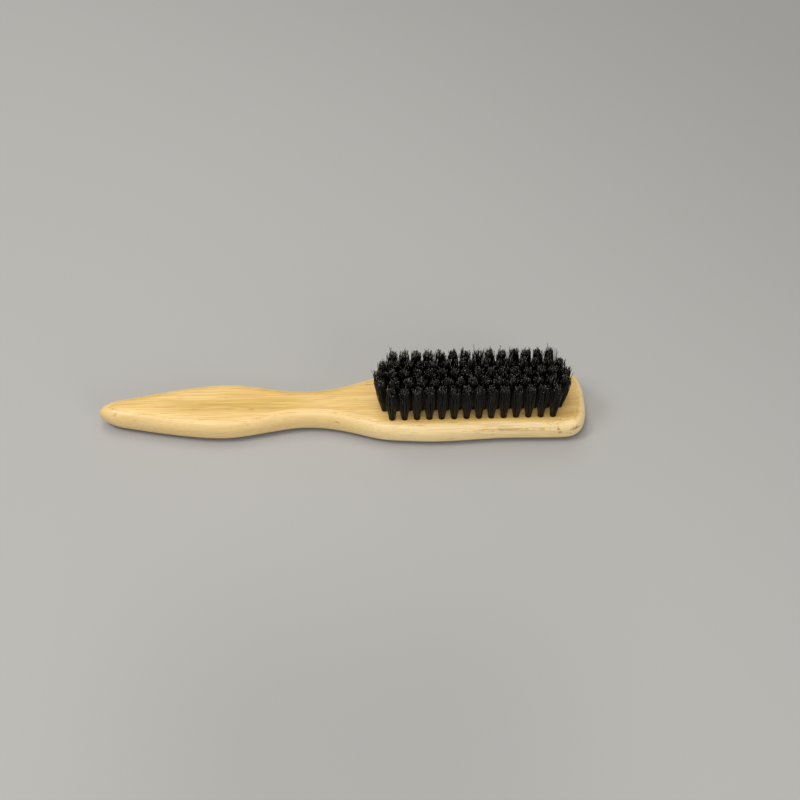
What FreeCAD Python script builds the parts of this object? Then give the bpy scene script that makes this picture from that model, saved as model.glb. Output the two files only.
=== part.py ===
import FreeCAD, Part
import math
import os

from FreeCAD import Vector

# Beard brush: a one-piece bamboo paddle with staple-set tufts of boar bristle.
# Millimetres. X runs along the brush from the handle's nose to the head's end, Y across it,
# Z up out of the bristle side. The origin is the middle of the outline, on the flat back.

# --- overall sizes -----------------------------------------------------------------------
overall_length = 179.0
body_thickness = 9.5
head_width = 28.2
head_length = 102.0            # from the neck's narrowest place to the end of the head
end_round_length = 11.0        # length of the head's rounded end
end_squareness = 3.0           # 2 is an ellipse, larger is squarer
shoulder_swell = 0.6           # extra half width where the neck opens into the head
side_hollow = 0.2              # how far the head's sides draw in halfway along

# --- handle ------------------------------------------------------------------------------
bulge_width = 21.9             # widest place of the grip
neck_width = 13.9
nose_width = 7.0               # width of the grip's taper, carried on to the nose
nose_length = 8.0              # length of the rounded nose
nose_rise = 0.7                # how far the nose's tip sits above mid-thickness
nose_lift = 1.6                # how far the back is worn up off the table at the tip
nose_lift_length = 16.0
edge_round_wanted = 4.0        # radius worked along all the long edges
edge_flat = 0.7                # half of the flat that stays on the side between two edges

# --- bristle field -----------------------------------------------------------------------
row_counts = (14, 15, 16, 15, 14)
side_margin = 5.3              # from the head's side to the outer row
end_margin = 9.2               # from the head's end to the middle row's last tuft
field_length = 65.8            # first to last tuft of the middle row
end_bow = 3.6                  # how much sooner the outer rows stop, at each end
bore_diameter = 2.4
bore_depth = 6.0
bristle_height = 16.0          # above the wood
tip_gap = 0.5                  # between two neighbouring tufts at their tips
end_leans = (0.4, 1.5, 1.1, 0.1, -0.8)  # how far each row's last tufts lean outwards at the tip
groups_per_row = 5

# --- anchors -----------------------------------------------------------------------------
anchor_bite = 0.1              # each end of an anchor sinks this far into the bore's wall
anchor_height = 1.8
anchor_thickness = 0.35
fold_height = 0.7              # folded bristle between the anchor and the bore's floor

# --- worked out from the sizes above -----------------------------------------------------
nose_x = -overall_length / 2
end_x = overall_length / 2
neck_x = end_x - head_length
handle_length = neck_x - nose_x
edge_round = min(edge_round_wanted, body_thickness / 2 - edge_flat)
bore_radius = bore_diameter / 2
bore_floor = body_thickness - bore_depth
outer_row_y = head_width / 2 - side_margin
row_spacing = 2 * outer_row_y / (len(row_counts) - 1)
field_end_x = end_x - end_margin
field_middle_x = field_end_x - field_length / 2

# The grip's half width as (share of the handle's length from the nose, share of the way from
# the nose's half width to the bulge's), up to the bulge, and then down to the neck.
GRIP_RISE = ((0.16, 0.31), (0.26, 0.53), (0.39, 0.78), (0.53, 0.97), (0.60, 1.0), (0.67, 0.95))
GRIP_FALL = ((0.80, 0.47), (0.90, 0.12))
# The shoulder's half width as (distance from the neck, share of the way to the head's).
SHOULDER = ((8.0, 0.12), (18.0, 0.50), (27.0, 0.87), (35.0, 1.0))
SWELL_AT = 44.0                # distance from the neck where the swelling is largest
NOSE_ANGLES = (8, 20, 35, 50, 65, 80, 90)
END_ANGLES = (12, 26, 40, 52, 64, 76, 84)


def rounded_section(x, half_width, bottom, top):
    """A closed rounded-rectangle wire in the plane at x: four straight sides and four arcs."""
    radius = min(edge_round, 0.9 * half_width, 0.45 * (top - bottom))
    side = half_width - radius
    low, high = bottom + radius, top - radius
    arcs = []
    for cy, cz, start in ((side, high, 0), (-side, high, 90), (-side, low, 180), (side, low, 270)):
        turns = [math.radians(start + step) for step in (0, 45, 90)]
        ends = [Vector(x, cy + radius * math.cos(a), cz + radius * math.sin(a)) for a in turns]
        arcs.append(ends)
    edges = []
    for arc, following in zip(arcs, arcs[1:] + arcs[:1]):
        edges.append(Part.Arc(*arc).toShape())
        edges.append(Part.LineSegment(arc[2], following[0]).toShape())
    return Part.Wire(edges)


def back_lift(along):
    """How high the back stands off the table at this distance from the nose's tip."""
    return nose_lift * max(0, 1 - along / nose_lift_length) ** 2


def nose_sections():
    """The rounded nose: width and thickness shrink together as a quarter ellipse."""
    sections = []
    middle = body_thickness / 2
    tip_share = math.cos(math.radians(NOSE_ANGLES[0]))
    for angle in NOSE_ANGLES:
        shrink = math.sin(math.radians(angle))
        along = nose_length * (tip_share - math.cos(math.radians(angle)))
        taper = along / (GRIP_RISE[0][0] * handle_length) * GRIP_RISE[0][1]
        half_width = (nose_width + (bulge_width - nose_width) * taper) / 2
        centre = middle + nose_rise * (1 - shrink)
        bottom = centre - (middle - back_lift(along)) * shrink
        top = centre + middle * shrink
        sections.append(rounded_section(nose_x + along, half_width * shrink, bottom, top))
    return sections


def grip_sections():
    """The grip from the nose to a little past the neck, where the head takes over."""
    half_widths = []
    for share, rise in GRIP_RISE:
        half_widths.append((share, (nose_width + (bulge_width - nose_width) * rise) / 2))
    for share, left in GRIP_FALL:
        half_widths.append((share, (neck_width + (bulge_width - neck_width) * left) / 2))
    half_widths.append((1.0, neck_width / 2))
    mirrored = [(2 - share, half_width) for share, half_width in half_widths[-3:-1]]
    sections = []
    for share, half_width in half_widths + mirrored[::-1]:
        along = share * handle_length
        bottom = back_lift(along)
        sections.append(rounded_section(nose_x + along, half_width, bottom, body_thickness))
    return sections


def handle():
    """The grip as one smooth skin over its sections, cut off square at the neck."""
    skin = Part.makeLoft(nose_sections() + grip_sections(), True)
    return skin.cut(slab_beside_neck(1))


def slab_beside_neck(side):
    """A block that covers everything on one side of the neck: 1 is the head's, -1 the handle's."""
    middle_x = neck_x + side * overall_length / 2
    corner = Vector(middle_x - overall_length / 2, -head_width, -body_thickness)
    return Part.makeBox(overall_length, 2 * head_width, 3 * body_thickness, corner)


def head_outline():
    """One side of the head in plan, from just before the neck round to the middle of its end."""
    half_head, half_neck = head_width / 2, neck_width / 2
    shoulder = [(along, half_neck + (half_head - half_neck) * share) for along, share in SHOULDER]
    points = [Vector(neck_x - along, half_width) for along, half_width in shoulder[1::-1]]
    points.append(Vector(neck_x, half_neck))
    points += [Vector(neck_x + along, half_width) for along, half_width in shoulder]
    points.append(Vector(neck_x + SWELL_AT, half_head + shoulder_swell))
    start = end_x - end_round_length
    points.append(Vector((neck_x + SWELL_AT + start) / 2, half_head - side_hollow))
    points.append(Vector(start, half_head))
    power = 2 / end_squareness
    for angle in END_ANGLES:
        along = end_round_length * math.sin(math.radians(angle)) ** power
        across = half_head * math.cos(math.radians(angle)) ** power
        points.append(Vector(start + along, across))
    points.append(Vector(end_x, 0))
    return points


def head():
    """The head as its outline pulled up to the body's thickness, with both long edges rounded."""
    near = head_outline()
    far = [Vector(p.x, -p.y) for p in near[-2::-1]]
    curve = Part.BSplineCurve()
    curve.interpolate(Points=near + far)
    closing_line = Part.LineSegment(far[-1], near[0])
    outline = Part.Wire([curve.toShape(), closing_line.toShape()])
    block = Part.Face(outline).extrude(Vector(0, 0, body_thickness))
    rims = [
        edge
        for edge in block.Edges
        if edge.BoundBox.ZLength < 1e-6 and edge.BoundBox.XLength > 1e-3
    ]
    return block.makeFillet(edge_round, rims).cut(slab_beside_neck(-1))


def tuft_places():
    """Every tuft as (row, x, y, outward lean at the tip), row by row from the front."""
    rows = []
    for row, (count, end_lean) in enumerate(zip(row_counts, end_leans)):
        y = -outer_row_y + row * row_spacing
        half_length = field_length / 2 - end_bow * (y / outer_row_y) ** 2
        places = []
        for number in range(count):
            share = 2 * number / (count - 1) - 1
            places.append((field_middle_x + share * half_length, y, end_lean * share ** 3))
        rows.append(places)
    return rows


def tip_radius(rows):
    """The largest tip that still leaves the gap between the two tufts that stand closest."""
    places = [place for row in rows for place in row]
    closest = min(
        math.hypot(ax - bx, ay - by)
        for index, (ax, ay, _) in enumerate(places)
        for bx, by, _ in places[index + 1:]
    )
    return (closest - tip_gap) / 2


def bore(x, y):
    return Part.makeCylinder(bore_radius, bore_depth, Vector(x, y, bore_floor))


def anchor(x, y):
    """A flat wire anchor, driven across the bore so that both ends bite into the wood."""
    length = bore_diameter + 2 * anchor_bite
    corner = Vector(x - anchor_thickness / 2, y - length / 2, bore_floor + fold_height)
    return Part.makeBox(anchor_thickness, length, anchor_height, corner)


def tuft(x, y, lean, radius):
    """A bundle of bristle: a foot that fills the bore, folded round the anchor, and a flared brush."""
    mouth = Vector(x, y, body_thickness)
    tip = Vector(x + lean, y, body_thickness + bristle_height)
    rings = [
        Part.Wire(Part.makeCircle(size, place))
        for size, place in ((bore_radius, mouth), (radius, tip))
    ]
    brush = Part.makeLoft(rings, True, True)
    return bore(x, y).fuse(brush).cut(anchor(x, y))


def split_evenly(places, parts):
    """Runs of neighbouring tufts, as equal as the count allows."""
    marks = [round(len(places) * part / parts) for part in range(parts + 1)]
    return [places[low:high] for low, high in zip(marks, marks[1:])]


def write(name, shapes):
    for shape in shapes:
        assert shape.isValid() and len(shape.Solids) == 1, name
    whole = shapes[0] if len(shapes) == 1 else Part.makeCompound(shapes)
    whole.exportStep("parts/" + name + ".step")


os.makedirs("parts", exist_ok=True)
field = tuft_places()
tip = tip_radius(field)

body = handle().fuse(head()).removeSplitter()
bores = [bore(x, y) for row in field for x, y, _ in row]
body = body.cut(Part.makeCompound(bores))
write("bamboo_body", body.Solids)

for row_number, places in enumerate(field, 1):
    write(f"anchors_row_{row_number}", [anchor(x, y) for x, y, _ in places])
    for group_number, group in enumerate(split_evenly(places, groups_per_row), 1):
        name = f"tufts_row_{row_number}_group_{group_number}"
        write(name, [tuft(x, y, lean, tip) for x, y, lean in group])
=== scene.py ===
import math

import bpy
import numpy as np
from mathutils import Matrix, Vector


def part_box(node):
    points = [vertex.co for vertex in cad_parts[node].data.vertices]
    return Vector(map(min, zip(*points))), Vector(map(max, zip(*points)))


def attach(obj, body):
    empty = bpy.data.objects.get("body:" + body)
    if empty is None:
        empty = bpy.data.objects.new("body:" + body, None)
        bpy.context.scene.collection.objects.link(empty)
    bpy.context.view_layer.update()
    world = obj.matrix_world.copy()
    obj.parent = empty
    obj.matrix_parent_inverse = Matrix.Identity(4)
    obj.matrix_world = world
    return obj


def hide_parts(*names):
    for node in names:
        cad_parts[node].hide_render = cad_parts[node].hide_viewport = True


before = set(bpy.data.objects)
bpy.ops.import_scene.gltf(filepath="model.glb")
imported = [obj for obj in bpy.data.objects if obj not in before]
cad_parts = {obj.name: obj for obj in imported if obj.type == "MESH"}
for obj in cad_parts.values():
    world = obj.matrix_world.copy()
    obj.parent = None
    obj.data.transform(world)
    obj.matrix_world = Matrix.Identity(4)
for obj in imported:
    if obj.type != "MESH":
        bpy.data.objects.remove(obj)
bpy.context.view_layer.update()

MM = 0.001
body_low, body_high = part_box("bamboo_body")
WOOD_TOP = body_high.z / MM

# --- the bristle field, as in the CAD model (millimetres) --------------------------------
ANCHOR_NODES = sorted(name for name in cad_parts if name.startswith("anchors_row_"))
ROW_COUNTS = (14, 15, 16, 15, 14)
GROUPS_PER_ROW = 5
OUTER_ROW_Y = 8.8
FIELD_LENGTH = 65.8
END_MARGIN = 9.2               # from the head's end to the middle row's last tuft
FIELD_MIDDLE_X = body_high.x / MM - END_MARGIN - FIELD_LENGTH / 2
END_BOW = 3.6                  # how much sooner the outer rows stop, at each end
END_LEANS = (0.4, 1.5, 1.1, 0.1, -0.8)
BORE_RADIUS = 1.2
BORE_DEPTH = 6.0
FOLD_HEIGHT = 0.7              # folded bristle between the anchor and the bore's floor
ANCHOR_HEIGHT = 1.8
ANCHOR_HALF_THICKNESS = 0.175

# --- the bristles ------------------------------------------------------------------------
BRISTLES_PER_TUFT = 42         # each is folded round the anchor and shows two ends
BRISTLE_RADIUS = 0.12
BRISTLE_SPACING = 0.24         # wanted between two bristles' middles, in the bore
WALL_GAP = 0.02                # left between a bristle and the bore's wall
SIDES = 5                      # of a bristle's tube
MEAN_HEIGHT = 15.3
# The bundle's width along its height: (share of the height, times its width in the bore).
FLARE = (
    (0, 1.0), (0.10, 1.12), (0.24, 1.42), (0.40, 1.74),
    (0.58, 1.90), (0.74, 1.84), (0.88, 1.68), (1.0, 1.50),
)
LOCKS_PER_TUFT = 6             # locks that the tips gather into
STRAY_SHARE = 0.04             # of the bristles that stand out from the rest
CURL_FROM = 0.62               # share of the height where the tips begin to curl

# --- marks in the bamboo (millimetres) ----------------------------------------------------
# Dark knots and cracks, and pale painted highlights: middle, half sizes, strength.
KNOTS = (
    ((-33.4, -3.0, 9.5), (1.3, 0.35, 1.0), 0.5),
    ((-44.0, 3.1, 9.5), (2.2, 0.3, 1.0), 0.4),
    ((-2.0, -8.1, 7.0), (1.6, 0.9, 0.6), 0.6),
    ((-83.2, -3.3, 8.4), (1.2, 0.9, 0.7), 0.3),
    ((85.2, -12.9, 6.6), (2.4, 1.2, 0.7), 0.85),
    ((78.4, -13.6, 7.2), (0.6, 1.1, 1.0), 0.75),
    ((78.9, -14.0, 5.6), (0.9, 1.0, 0.7), 0.65),
    ((60.0, -13.45, 7.45), (20.0, 0.5, 0.25), 0.5),
    ((63.0, -13.65, 6.95), (12.0, 0.5, 0.22), 0.5),
)
PAINTED_HIGHLIGHTS = (
    ((84.1, -11.8, 8.6), (2.6, 1.2, 1.1), 1.0),
    ((80.6, -13.3, 7.8), (2.0, 1.0, 0.8), 0.9),
    ((81.5, -9.6, 9.5), (2.4, 0.35, 1.0), 0.4),
)
CANE_NODE = ((82.0, -12.2, 8.3), (6.5, 2.8, 2.8))  # crumpled grain at the head's front corner


# --- node helpers ------------------------------------------------------------------------
class Shader:
    """A small builder for one material's node tree."""

    def __init__(self, name):
        self.material = bpy.data.materials.new(name)
        self.material.use_nodes = True
        self.tree = self.material.node_tree
        self.tree.nodes.clear()
        self.output = self.add("ShaderNodeOutputMaterial")
        self.bsdf = self.add("ShaderNodeBsdfPrincipled")
        self.link(self.bsdf.outputs["BSDF"], self.output.inputs["Surface"])

    def add(self, kind, **settings):
        node = self.tree.nodes.new(kind)
        for key, value in settings.items():
            setattr(node, key, value)
        return node

    def link(self, source, target):
        self.tree.links.new(source, target)

    def put(self, target, value):
        """Sets a socket to a number or colour, or links it to another node's output."""
        if isinstance(value, bpy.types.NodeSocket):
            self.link(value, target)
        else:
            target.default_value = value

    def coordinates(self, scale, offset=(0, 0, 0)):
        """The row frame's coordinates, in metres, scaled along each axis."""
        place = self.add("ShaderNodeTexCoord")
        mapping = self.add("ShaderNodeMapping")
        mapping.inputs["Scale"].default_value = scale
        mapping.inputs["Location"].default_value = offset
        self.link(place.outputs["Object"], mapping.inputs["Vector"])
        return mapping.outputs["Vector"]

    def noise(self, vector, detail, roughness=0.55):
        node = self.add("ShaderNodeTexNoise")
        self.put(node.inputs["Vector"], vector)
        node.inputs["Scale"].default_value = 1.0
        node.inputs["Detail"].default_value = detail
        node.inputs["Roughness"].default_value = roughness
        return node.outputs["Fac"]

    def split(self, vector):
        node = self.add("ShaderNodeSeparateXYZ")
        self.link(vector, node.inputs["Vector"])
        return node.outputs["X"], node.outputs["Y"], node.outputs["Z"]

    def join(self, x, y, z):
        node = self.add("ShaderNodeCombineXYZ")
        for name, value in zip("XYZ", (x, y, z)):
            self.put(node.inputs[name], value)
        return node.outputs["Vector"]

    def band(self, value, low, high, to_low=0.0, to_high=1.0):
        node = self.add("ShaderNodeMapRange", interpolation_type="SMOOTHSTEP")
        self.put(node.inputs["Value"], value)
        names = ("From Min", "From Max", "To Min", "To Max")
        for name, number in zip(names, (low, high, to_low, to_high)):
            node.inputs[name].default_value = number
        return node.outputs["Result"]

    def math(self, operation, first, second=0.0):
        node = self.add("ShaderNodeMath", operation=operation)
        self.put(node.inputs[0], first)
        self.put(node.inputs[1], second)
        return node.outputs["Value"]

    def mix(self, factor, first, second):
        node = self.add("ShaderNodeMix", data_type="RGBA")
        self.put(node.inputs["Factor"], factor)
        self.put(node.inputs["A"], first)
        self.put(node.inputs["B"], second)
        return node.outputs["Result"]

    def bump(self, height, strength, distance, normal=None):
        node = self.add("ShaderNodeBump")
        node.inputs["Strength"].default_value = strength
        node.inputs["Distance"].default_value = distance
        self.link(height, node.inputs["Height"])
        if normal is not None:
            self.link(normal, node.inputs["Normal"])
        return node.outputs["Normal"]


def colour(red, green, blue):
    """A colour given in sRGB from 0 to 255, as the linear RGBA that sockets take."""
    shares = [channel / 255 for channel in (red, green, blue)]
    linear = [s / 12.92 if s <= 0.04045 else ((s + 0.055) / 1.055) ** 2.4 for s in shares]
    return (*linear, 1.0)


# --- materials ---------------------------------------------------------------------------
def bamboo_material():
    """Pale oiled bamboo: strips with their own tone, straight grain, dark fibres and knots."""
    s = Shader("bamboo")
    pale, golden = colour(243, 204, 126), colour(229, 185, 97)
    olive, brown, light = colour(206, 162, 74), colour(168, 118, 58), colour(252, 222, 156)
    heart, painted_shade_edge = colour(210, 170, 64), colour(86, 60, 32)
    x, y, z = s.split(s.coordinates((1000, 1000, 1000)))
    # The grain wanders a little across the length, and bends round the knots.
    wander = s.noise(s.coordinates((16, 45, 45)), 2.0)
    y_bent = s.math("ADD", y, s.band(wander, 0.3, 0.7, -0.55, 0.55))
    rough_edge = s.band(s.noise(s.coordinates((420, 800, 800)), 3.0), 0.3, 0.7, -0.5, 0.5)

    def mark(middle, half_sizes):
        """How far a point is from a mark's middle, where 1 is its rim, and how far to its side."""
        offsets = [
            s.math("DIVIDE", s.math("SUBTRACT", value, centre), half)
            for value, centre, half in zip((x, y, z), middle, half_sizes)
        ]
        squares = [s.math("MULTIPLY", offset, offset) for offset in offsets]
        away = s.math("SQRT", s.math("ADD", s.math("ADD", squares[0], squares[1]), squares[2]))
        return s.math("ADD", away, rough_edge), offsets[1]

    smudges, painted_highlights = 0.0, 0.0
    for middle, half_sizes, strength in KNOTS:
        away, aside = mark(middle, half_sizes)
        smudges = s.math("MAXIMUM", smudges, s.band(away, 0.35, 1.15, strength, 0.0))
        pushed = s.band(away, 0.0, 2.6, 0.3 * half_sizes[1], 0.0)
        y_bent = s.math("ADD", y_bent, s.math("MULTIPLY", aside, pushed))
    # Painted highlights near the head's front corner, mixed in with the light tone.
    for middle, half_sizes, strength in PAINTED_HIGHLIGHTS:
        away, _ = mark(middle, half_sizes)
        painted_highlights = s.math("MAXIMUM", painted_highlights, s.band(away, 0.3, 1.2, strength, 0.0))
    crumpled = s.band(mark(*CANE_NODE)[0], 0.4, 1.2, 1.0, 0.0)
    wave = s.noise(s.coordinates((260, 420, 420), (0.2, 0, 0)), 2.0)
    y_bent = s.math("ADD", y_bent, s.math("MULTIPLY", crumpled, s.band(wave, 0.3, 0.7, -0.8, 0.8)))
    grain_place = s.join(x, y_bent, z)

    def grain(along, across, offset, detail=2.0):
        """Noise drawn out along the grain: its size along and across, in millimetres."""
        mapping = s.add("ShaderNodeMapping")
        mapping.inputs["Scale"].default_value = (1 / along, 1 / across, 1 / across)
        mapping.inputs["Location"].default_value = (offset, offset * 1.7, offset * 0.6)
        s.link(grain_place, mapping.inputs["Vector"])
        return s.noise(mapping.outputs["Vector"], detail, roughness=0.6)

    # The darker heart strip along the grip, and broad soft strips elsewhere.
    heart_strip = s.math("MULTIPLY", s.band(y_bent, -4.2, -3.3), s.band(y_bent, 0.8, 2.4, 1.0, 0.0))
    heart_strip = s.math("MULTIPLY", heart_strip, s.band(x, -72, -46))
    heart_strip = s.math("MULTIPLY", heart_strip, s.band(x, -26, -4, 1.0, 0.0))
    uneven = s.band(grain(30, 1.6, 2.0), 0.30, 0.55, 0.35, 1.0)
    heart_strip = s.math("MULTIPLY", heart_strip, uneven)
    tone = s.mix(s.band(grain(60, 4.2, 5.0, 1.0), 0.38, 0.62, 0.0, 0.75), pale, golden)
    tone = s.mix(s.math("MULTIPLY", heart_strip, 0.9), tone, heart)
    # The rounded edges are painted paler than the flat top, more so towards the head, as painted
    # light on the sides, and they show less of its grain.
    flat = s.band(z, 8.7, 9.4)
    towards_head = s.band(x, -10, 25)
    shown = s.math("MAXIMUM", s.band(flat, 0.0, 1.0, 0.35, 1.0), s.band(x, 28, 50, 0.35, 0.75))
    painted_light_side_tone = s.mix(towards_head, colour(242, 212, 156), colour(255, 228, 170))
    paler = s.math("SUBTRACT", 1.0, flat)
    painted_light_share = s.math("MULTIPLY", paler, s.band(towards_head, 0.0, 1.0, 0.55, 0.85))
    tone = s.mix(painted_light_share, tone, painted_light_side_tone)
    # Streaks under half a millimetre wide, then finer ones, then single dark fibres.
    streak = grain(24, 0.40, 1.0, 2.0)
    streaks = s.math("MULTIPLY", s.band(streak, 0.50, 0.66, 0.0, 0.62), shown)
    tone = s.mix(streaks, tone, olive)
    tone = s.mix(s.band(streak, 0.30, 0.44, 0.5, 0.0), tone, light)
    fine = grain(15, 0.17, 3.0, 2.0)
    tone = s.mix(s.math("MULTIPLY", s.band(fine, 0.52, 0.70, 0.0, 0.42), shown), tone, brown)
    fibres = s.band(grain(16, 0.34, 7.0, 1.0), 0.62, 0.69)
    lines = s.math("MULTIPLY", fibres, s.band(grain(9, 3.0, 9.0), 0.44, 0.58))
    tone = s.mix(s.math("MULTIPLY", s.math("MULTIPLY", lines, 0.75), shown), tone, brown)
    tone = s.mix(s.math("MULTIPLY", crumpled, s.band(wave, 0.52, 0.64, 0.0, 0.35)), tone, light)
    # The painted highlights.
    tone = s.mix(painted_highlights, tone, light)
    tone = s.mix(smudges, tone, brown)
    # Painted shade along the lower edge, darker towards the bottom where it meets the table.
    tone = s.mix(s.band(z, 1.8, 2.9, 0.85, 0.0), tone, painted_shade_edge)
    s.link(tone, s.bsdf.inputs["Base Color"])
    s.link(s.band(streak, 0.35, 0.70, 0.34, 0.46), s.bsdf.inputs["Roughness"])
    s.bsdf.inputs["Coat Weight"].default_value = 0.45
    s.bsdf.inputs["Coat Roughness"].default_value = 0.28
    surface = s.bump(fine, 0.10, 0.00006)
    surface = s.bump(streak, 0.10, 0.00015, surface)
    surface = s.bump(s.math("MULTIPLY", crumpled, wave), 0.5, 0.0006, surface)
    s.link(surface, s.bsdf.inputs["Normal"])
    return s.material


def bristle_material():
    """Black boar hair: glossy, red-brown in places, with a painted highlight at some of the tips
    and on the pale cut ends that face up.
    """
    s = Shader("bristle")
    black, brown, tip_highlight = colour(4, 4, 2), colour(38, 18, 14), colour(74, 70, 62)
    _, _, z = s.split(s.coordinates((1000, 1000, 1000)))
    single = s.noise(s.coordinates((3300, 3300, 110)), 1.0)
    patch = s.noise(s.coordinates((170, 170, 60), (0.4, 0.2, 0)), 2.0)
    reddish = s.band(s.math("ADD", patch, s.math("MULTIPLY", single, 0.5)), 0.88, 1.02, 0.0, 0.7)
    tone = s.mix(reddish, black, brown)
    # Painted highlight on some of the tips, where they catch the light from above.
    tip = s.band(z, WOOD_TOP + MEAN_HEIGHT - 2.0, WOOD_TOP + MEAN_HEIGHT + 0.2)
    facing = s.add("ShaderNodeNewGeometry")
    upward = s.split(facing.outputs["True Normal"])[2]
    # The cut ends that face up are painted pale: partly the paler cut of the hair, partly a painted
    # highlight from the light above.
    cut_end_glint = s.math("MULTIPLY", s.band(upward, 0.75, 0.92), s.band(z, WOOD_TOP + 8, WOOD_TOP + 10))
    tone = s.mix(s.math("MULTIPLY", tip, s.band(single, 0.50, 0.66, 0.0, 0.7)), tone, tip_highlight)
    tone = s.mix(s.math("MULTIPLY", cut_end_glint, s.band(single, 0.52, 0.66)), tone, colour(196, 190, 178))
    s.link(tone, s.bsdf.inputs["Base Color"])
    duller = s.band(z, WOOD_TOP + 7, WOOD_TOP + 13, 0.14, 0.0)
    s.link(s.math("ADD", s.band(single, 0.3, 0.7, 0.12, 0.32), duller), s.bsdf.inputs["Roughness"])
    s.bsdf.inputs["Specular IOR Level"].default_value = 0.36
    return s.material


def anchor_material():
    """Bare flat wire, drawn along its length."""
    s = Shader("anchor_wire")
    drawn = s.noise(s.coordinates((9000, 300, 9000)), 2.0)
    tone = s.mix(s.band(drawn, 0.3, 0.7), colour(170, 166, 158), colour(205, 202, 196))
    s.link(tone, s.bsdf.inputs["Base Color"])
    s.bsdf.inputs["Metallic"].default_value = 1.0
    s.link(s.band(drawn, 0.3, 0.7, 0.28, 0.42), s.bsdf.inputs["Roughness"])
    s.link(s.bump(drawn, 0.1, 0.00002), s.bsdf.inputs["Normal"])
    return s.material


# --- bristles ----------------------------------------------------------------------------
def tuft_places():
    """Every tuft as (x, y, lean at the tip) in millimetres, in rows, as the bores are drilled."""
    rows = []
    for row, (count, end_lean) in enumerate(zip(ROW_COUNTS, END_LEANS)):
        y = -OUTER_ROW_Y + row * 2 * OUTER_ROW_Y / (len(ROW_COUNTS) - 1)
        half_length = FIELD_LENGTH / 2 - END_BOW * (y / OUTER_ROW_Y) ** 2
        shares = [2 * number / (count - 1) - 1 for number in range(count)]
        rows.append([(FIELD_MIDDLE_X + u * half_length, y, end_lean * u ** 3) for u in shares])
    return rows


def grouped(places):
    marks = [round(len(places) * part / GROUPS_PER_ROW) for part in range(GROUPS_PER_ROW + 1)]
    return [places[low:high] for low, high in zip(marks, marks[1:])]


def leg_feet(rng, count):
    """Where one side's bristles stand beside the anchor, spread evenly over half the bore."""
    reach = BORE_RADIUS - BRISTLE_RADIUS - WALL_GAP
    clear = ANCHOR_HALF_THICKNESS + BRISTLE_RADIUS
    feet = []
    gap = BRISTLE_SPACING
    tries = 0
    while len(feet) < count:
        tries += 1
        if tries > 300:
            gap *= 0.93
            tries = 0
        x, y = rng.uniform(clear, reach), rng.uniform(-reach, reach)
        if x * x + y * y > reach * reach:
            continue
        if all((x - a) ** 2 + (y - b) ** 2 > gap * gap for a, b in feet):
            feet.append((x, y))
    return feet


def closed_up(foot):
    """The same bristle at the bore's mouth, where the halves have closed up above the anchor."""
    reach = BORE_RADIUS - BRISTLE_RADIUS - WALL_GAP
    clear = ANCHOR_HALF_THICKNESS + BRISTLE_RADIUS
    widest = math.sqrt(max(reach * reach - foot[1] ** 2, clear * clear * 1.0001))
    return (foot[0] - clear) / (widest - clear) * widest, foot[1]


def leg_path(rng, foot, side, lean, locks):
    """One end of a bristle, from above the anchor to its tip, in the tuft's own millimetres."""
    mouth_x, mouth_y = closed_up(foot)
    x, y = mouth_x * side, mouth_y
    outward = math.hypot(x, y) / BORE_RADIUS
    nearest = min(locks, key=lambda lock: (lock[0] - x) ** 2 + (lock[1] - y) ** 2)
    lock_x, lock_y, lock_rise = nearest
    gather = rng.uniform(0.2, 0.7)
    height = MEAN_HEIGHT + lock_rise + rng.normal(0, 0.36) - 1.7 * outward ** 2 + 0.7
    stray = rng.uniform() < STRAY_SHARE
    if stray:
        height = MEAN_HEIGHT + rng.uniform(0.5, 2.0)
        gather = 0
    bend_way = rng.uniform(0, 2 * math.pi)
    bend = abs(rng.normal(0, 0.36)) + (rng.uniform(0.3, 1.0) if stray else 0)
    hook_way = rng.uniform(0, 2 * math.pi)
    hook = abs(rng.normal(0, 0.50))
    points = [(foot[0] * side, foot[1], -BORE_DEPTH + FOLD_HEIGHT + ANCHOR_HEIGHT)]
    for share, wider in FLARE:
        pull = gather * max(0, share - 0.5) / 0.5
        px = (x + (lock_x - x) * pull) * wider + lean * share ** 1.3
        py = (y + (lock_y - y) * pull) * wider
        px += bend * share ** 2 * math.cos(bend_way)
        py += bend * share ** 2 * math.sin(bend_way)
        curl = hook * (max(0, share - CURL_FROM) / (1 - CURL_FROM)) ** 1.6
        px += curl * math.cos(hook_way)
        py += curl * math.sin(hook_way)
        points.append((px, py, height * share))
    return points


def bristle_paths(rng, lean):
    """Every bristle of a tuft: down one side of the bore, round the anchor and up the other."""
    near = sorted(leg_feet(rng, BRISTLES_PER_TUFT))
    far = sorted(leg_feet(rng, BRISTLES_PER_TUFT))
    locks = []
    first_turn = rng.uniform(0, 2 * math.pi)
    for number in range(LOCKS_PER_TUFT):
        turn = first_turn + number * 2 * math.pi / (LOCKS_PER_TUFT - 1)
        out = BORE_RADIUS * (rng.uniform(0.6, 0.85) if number else 0.0)
        locks.append((out * math.cos(turn), out * math.sin(turn), rng.normal(0, 0.45)))
    under = -BORE_DEPTH + FOLD_HEIGHT
    for foot, other in zip(near, far):
        up = leg_path(rng, foot, 1, lean, locks)
        down = leg_path(rng, other, -1, lean, locks)
        share = foot[0] / BORE_RADIUS
        sag = under - BRISTLE_RADIUS - (FOLD_HEIGHT - 2 * BRISTLE_RADIUS - WALL_GAP) * share
        middle_y = (foot[1] + other[1]) / 2
        turn = [
            (-other[0] * 0.8, other[1], under),
            (-other[0] * 0.4, (middle_y + other[1]) / 2, (sag + under) / 2),
            (0.0, middle_y, sag),
            (foot[0] * 0.4, (middle_y + foot[1]) / 2, (sag + under) / 2),
            (foot[0] * 0.8, foot[1], under),
        ]
        yield down[::-1] + turn + up


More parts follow.
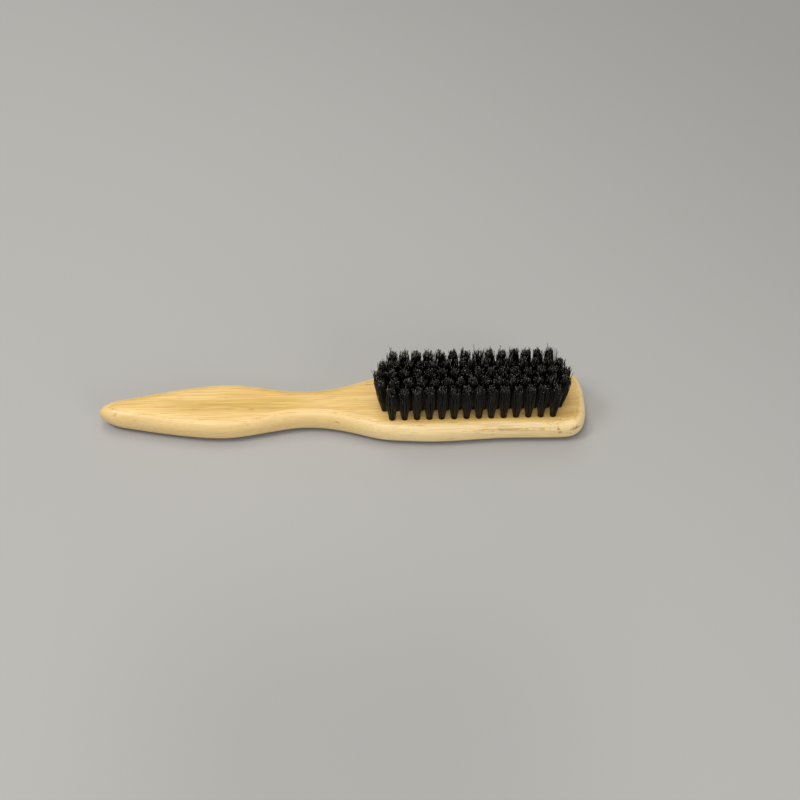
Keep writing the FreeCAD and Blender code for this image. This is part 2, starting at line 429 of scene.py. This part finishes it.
def tube(path, thick, tip):
    """A tapered tube round a path, as (points, quads, the two cut ends)."""
    path = np.array(path)
    along = np.gradient(path, axis=0)
    along /= np.linalg.norm(along, axis=1, keepdims=True)
    across = np.cross(along, np.array((0.0, 1.0, 0.0)))
    across /= np.maximum(np.linalg.norm(across, axis=1, keepdims=True), 1e-9)
    other = np.cross(along, across)
    share = np.linspace(0, 1, len(path))
    radius = np.interp(share, (0, 0.10, 0.5, 0.90, 1), (tip, thick, thick, thick, tip))
    turns = np.arange(SIDES) * 2 * math.pi / SIDES
    sideways = np.cos(turns)[None, :, None] * across[:, None, :]
    sideways = sideways + np.sin(turns)[None, :, None] * other[:, None, :]
    rings = path[:, None, :] + radius[:, None, None] * sideways
    ring, side = np.meshgrid(np.arange(len(path) - 1), np.arange(SIDES), indexing="ij")
    a, b = (ring * SIDES + side).ravel(), (ring * SIDES + (side + 1) % SIDES).ravel()
    quads = np.stack((a, b, b + SIDES, a + SIDES), axis=1)
    around = np.arange(SIDES)
    return rings.reshape(-1, 3), quads, (around[::-1], around + (len(path) - 1) * SIDES)


def tuft_group(name, places, material, rng):
    """The bristles of neighbouring tufts as one piece; its map gives each bristle its own strip."""
    points, faces, mapped = [], [], []
    count = 0
    strips = 2 * math.ceil(len(places) * BRISTLES_PER_TUFT / 2)
    number = 0
    for x, y, lean in places:
        for path in bristle_paths(rng, lean):
            thick = BRISTLE_RADIUS * rng.uniform(0.72, 1.12)
            hair_points, quads, ends = tube(path, thick, thick * rng.uniform(0.55, 0.95))
            points.append((hair_points + np.array((x, y, WOOD_TOP))) * MM)
            faces += (quads + count).tolist() + [(end + count).tolist() for end in ends]
            left, right = (number + 0.12) / strips, (number + 0.88) / strips
            rings = len(hair_points) // SIDES - 1
            for a, b, c, d in quads:
                low, high = 0.02 + 0.96 * (a // SIDES) / rings, 0.02 + 0.96 * (d // SIDES) / rings
                mapped += [(left, low), (right, low), (right, high), (left, high)]
            for low, high in ((0.0, 0.015), (0.985, 1.0)):
                for side in range(SIDES):
                    turn = 2 * math.pi * side / SIDES
                    u = left + (right - left) * (0.5 + 0.5 * math.cos(turn))
                    mapped.append((u, low + (high - low) * (0.5 + 0.5 * math.sin(turn))))
            count += len(hair_points)
            number += 1
    mesh = bpy.data.meshes.new(name)
    mesh.from_pydata(np.concatenate(points).tolist(), [], faces)
    smooth = [len(face) == 4 for face in faces]
    mesh.polygons.foreach_set("use_smooth", smooth)
    layer = mesh.uv_layers.new(name="OFBake")
    layer.data.foreach_set("uv", np.array(mapped).ravel())
    mesh.materials.append(material)
    mesh.update()
    piece = bpy.data.objects.new(name, mesh)
    bpy.context.scene.collection.objects.link(piece)
    return piece


def build_bristles():
    material = bristle_material()
    rng = np.random.default_rng(7)
    for row, places in enumerate(tuft_places(), 1):
        for group, members in enumerate(grouped(places), 1):
            node = f"tufts_row_{row}_group_{group}"
            piece = tuft_group(f"bristles_row_{row}_group_{group}", members, material, rng)
            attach(piece, "root")
            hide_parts(node)


# --- what the CAD model already shapes ---------------------------------------------------
def dress(node, material):
    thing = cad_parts[node]
    thing.data.materials.clear()
    thing.data.materials.append(material)


# --- stage, light and camera -------------------------------------------------------------
TARGET = Vector((21.4, 7.6, 0)) * MM
LOOK_DOWN = math.radians(50.5)
TURN = math.radians(1.7)
DISTANCE = 563.9 * MM
LENS = 67.5
LIT = Vector((20, 0, 0)) * MM  # what the lights aim at
FLOOR_HALF = 3.0               # metres
FLOOR_DROP = 0.00003           # keeps the floor's face from lying in the back's


def build_camera():
    data = bpy.data.cameras.new("camera")
    data.lens = LENS
    data.sensor_width = 36.0
    data.clip_start = 0.01
    camera = bpy.data.objects.new("camera", data)
    bpy.context.scene.collection.objects.link(camera)
    flat = math.cos(LOOK_DOWN)
    forward = Vector((math.sin(TURN) * flat, math.cos(TURN) * flat, -math.sin(LOOK_DOWN)))
    camera.location = TARGET - forward * DISTANCE
    camera.rotation_euler = forward.to_track_quat("-Z", "Y").to_euler()
    bpy.context.scene.camera = camera


def area_light(name, place, size, power):
    data = bpy.data.lights.new(name, "AREA")
    data.shape = "DISK"
    data.size = size
    data.energy = power
    light = bpy.data.objects.new(name, data)
    light.location = place
    light.rotation_euler = (LIT - Vector(place)).to_track_quat("-Z", "Y").to_euler()
    bpy.context.scene.collection.objects.link(light)


def build_stage():
    s = Shader("tabletop")
    mottle = s.noise(s.coordinates((2.2, 2.2, 2.2)), 2.0)
    # The table is painted a little darker far behind on the right, as painted shade, and just in
    # front of the brush, as a painted shadow.
    x, y, _ = s.split(s.coordinates((1, 1, 1)))
    behind = s.band(s.math("ADD", x, y), 0.05, 0.45, 0.0, 0.5)
    beside = s.band(s.math("ABSOLUTE", x), 0.02, 0.12, 0.38, 0.0)
    front = s.math("MULTIPLY", s.band(y, -0.13, -0.03, 1.0, 0.0), beside)
    tone = s.mix(mottle, colour(175, 173, 169), colour(180, 178, 174))
    tone = s.mix(s.math("MAXIMUM", behind, front), tone, colour(150, 148, 144))
    s.link(tone, s.bsdf.inputs["Base Color"])
    s.bsdf.inputs["Roughness"].default_value = 0.75
    signs = ((-1, -1), (1, -1), (1, 1), (-1, 1))
    corners = [(across * FLOOR_HALF, along * FLOOR_HALF, -FLOOR_DROP) for across, along in signs]
    mesh = bpy.data.meshes.new("floor")
    mesh.from_pydata(corners, [], [(0, 1, 2, 3)])
    mesh.materials.append(s.material)
    floor = bpy.data.objects.new("floor", mesh)
    bpy.context.scene.collection.objects.link(floor)
    world = bpy.data.worlds.new("studio")
    bpy.context.scene.world = world
    world.use_nodes = True
    background = world.node_tree.nodes["Background"]
    background.inputs["Color"].default_value = (1.0, 0.985, 0.96, 1)
    background.inputs["Strength"].default_value = 0.34
    area_light("top", (0.0, 0.02, 1.0), 0.5, 1.6)
    area_light("top_front", (-0.1, -0.45, 0.88), 0.5, 1.75)
    area_light("top_left", (-0.5, -0.12, 0.85), 0.28, 2.75)
    area_light("top_back", (-0.15, 0.42, 0.9), 0.4, 1.5)
    area_light("front_right", (0.55, -0.75, 0.36), 0.6, 2.0)


dress("bamboo_body", bamboo_material())
anchor_metal = anchor_material()
for anchors in ANCHOR_NODES:
    dress(anchors, anchor_metal)
build_bristles()
build_stage()
build_camera()
bpy.context.scene.view_settings.view_transform = "Standard"
bpy.context.scene.view_settings.look = "None"
